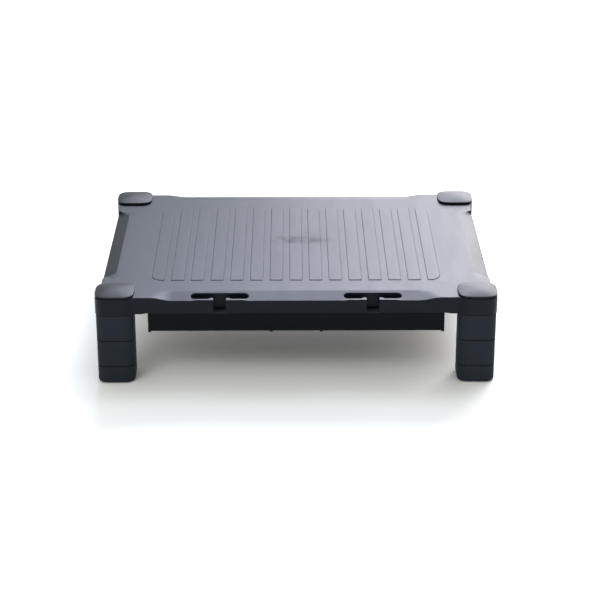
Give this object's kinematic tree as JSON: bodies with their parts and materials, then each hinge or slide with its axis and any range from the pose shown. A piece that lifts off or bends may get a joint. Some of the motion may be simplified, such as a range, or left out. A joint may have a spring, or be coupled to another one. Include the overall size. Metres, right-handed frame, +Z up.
{
  "type": "monitor riser stand",
  "caption": "Low platform for a monitor on legs stacked from plug-in modules, with a slatted deck, T-shaped cable slots in the front edge and a shallow drawer under it.",
  "frame": {"origin": "on the desk top, at the middle of the footprint", "axes": "+X to the stand's right seen from the front, +Y to its back, +Z up"},
  "size_m": [0.433, 0.335, 0.1042],
  "materials": {
    "platform_plastic": "moulded charcoal plastic, fine satin texture",
    "cap_plastic": "moulded charcoal plastic, smoother satin",
    "riser_plastic": "moulded charcoal plastic, fine satin texture",
    "drawer_plastic": "moulded black plastic, satin",
    "runner_plastic": "moulded black plastic, satin",
    "pad_rubber": "matt black rubber",
    "screw_steel": "zinc plated"
  },
  "bodies": {
    "stand": {"platform": "platform_plastic", "corner_cap_front_left": "cap_plastic", "corner_cap_front_right": "cap_plastic", "corner_cap_back_left": "cap_plastic", "corner_cap_back_right": "cap_plastic", "drawer_runner_left": "runner_plastic", "drawer_runner_right": "runner_plastic", "runner_screw_left_front": "screw_steel", "runner_screw_left_middle": "screw_steel", "runner_screw_left_back": "screw_steel", "runner_screw_right_front": "screw_steel", "runner_screw_right_middle": "screw_steel", "runner_screw_right_back": "screw_steel"},
    "drawer": {"drawer_tray": "drawer_plastic"},
    "front_left_upper": {"upper_riser_front_left": "riser_plastic"},
    "front_left_lower": {"lower_riser_front_left": "riser_plastic"},
    "front_left_foot": {"foot_front_left": "riser_plastic", "foot_pad_front_left": "pad_rubber"},
    "front_right_upper": {"upper_riser_front_right": "riser_plastic"},
    "front_right_lower": {"lower_riser_front_right": "riser_plastic"},
    "front_right_foot": {"foot_front_right": "riser_plastic", "foot_pad_front_right": "pad_rubber"},
    "back_left_upper": {"upper_riser_back_left": "riser_plastic"},
    "back_left_lower": {"lower_riser_back_left": "riser_plastic"},
    "back_left_foot": {"foot_back_left": "riser_plastic", "foot_pad_back_left": "pad_rubber"},
    "back_right_upper": {"upper_riser_back_right": "riser_plastic"},
    "back_right_lower": {"lower_riser_back_right": "riser_plastic"},
    "back_right_foot": {"foot_back_right": "riser_plastic", "foot_pad_back_right": "pad_rubber"}
  },
  "joints": [
    {"name": "drawer_slide", "type": "slide", "parent": "stand", "child": "drawer", "axis": [0, -1, 0], "range_m": [0, 0.19]},
    {"name": "front_left_upper_unplug", "type": "slide", "parent": "stand", "child": "front_left_upper", "axis": [0, 0, -1], "range_m": [0, 0.016]},
    {"name": "front_left_lower_unplug", "type": "slide", "parent": "front_left_upper", "child": "front_left_lower", "axis": [0, 0, -1], "range_m": [0, 0.016]},
    {"name": "front_left_foot_unplug", "type": "slide", "parent": "front_left_lower", "child": "front_left_foot", "axis": [0, 0, -1], "range_m": [0, 0.016]},
    {"name": "front_right_upper_unplug", "type": "slide", "parent": "stand", "child": "front_right_upper", "axis": [0, 0, -1], "range_m": [0, 0.016]},
    {"name": "front_right_lower_unplug", "type": "slide", "parent": "front_right_upper", "child": "front_right_lower", "axis": [0, 0, -1], "range_m": [0, 0.016]},
    {"name": "front_right_foot_unplug", "type": "slide", "parent": "front_right_lower", "child": "front_right_foot", "axis": [0, 0, -1], "range_m": [0, 0.016]},
    {"name": "back_left_upper_unplug", "type": "slide", "parent": "stand", "child": "back_left_upper", "axis": [0, 0, -1], "range_m": [0, 0.016]},
    {"name": "back_left_lower_unplug", "type": "slide", "parent": "back_left_upper", "child": "back_left_lower", "axis": [0, 0, -1], "range_m": [0, 0.016]},
    {"name": "back_left_foot_unplug", "type": "slide", "parent": "back_left_lower", "child": "back_left_foot", "axis": [0, 0, -1], "range_m": [0, 0.016]},
    {"name": "back_right_upper_unplug", "type": "slide", "parent": "stand", "child": "back_right_upper", "axis": [0, 0, -1], "range_m": [0, 0.016]},
    {"name": "back_right_lower_unplug", "type": "slide", "parent": "back_right_upper", "child": "back_right_lower", "axis": [0, 0, -1], "range_m": [0, 0.016]},
    {"name": "back_right_foot_unplug", "type": "slide", "parent": "back_right_lower", "child": "back_right_foot", "axis": [0, 0, -1], "range_m": [0, 0.016]}
  ]
}
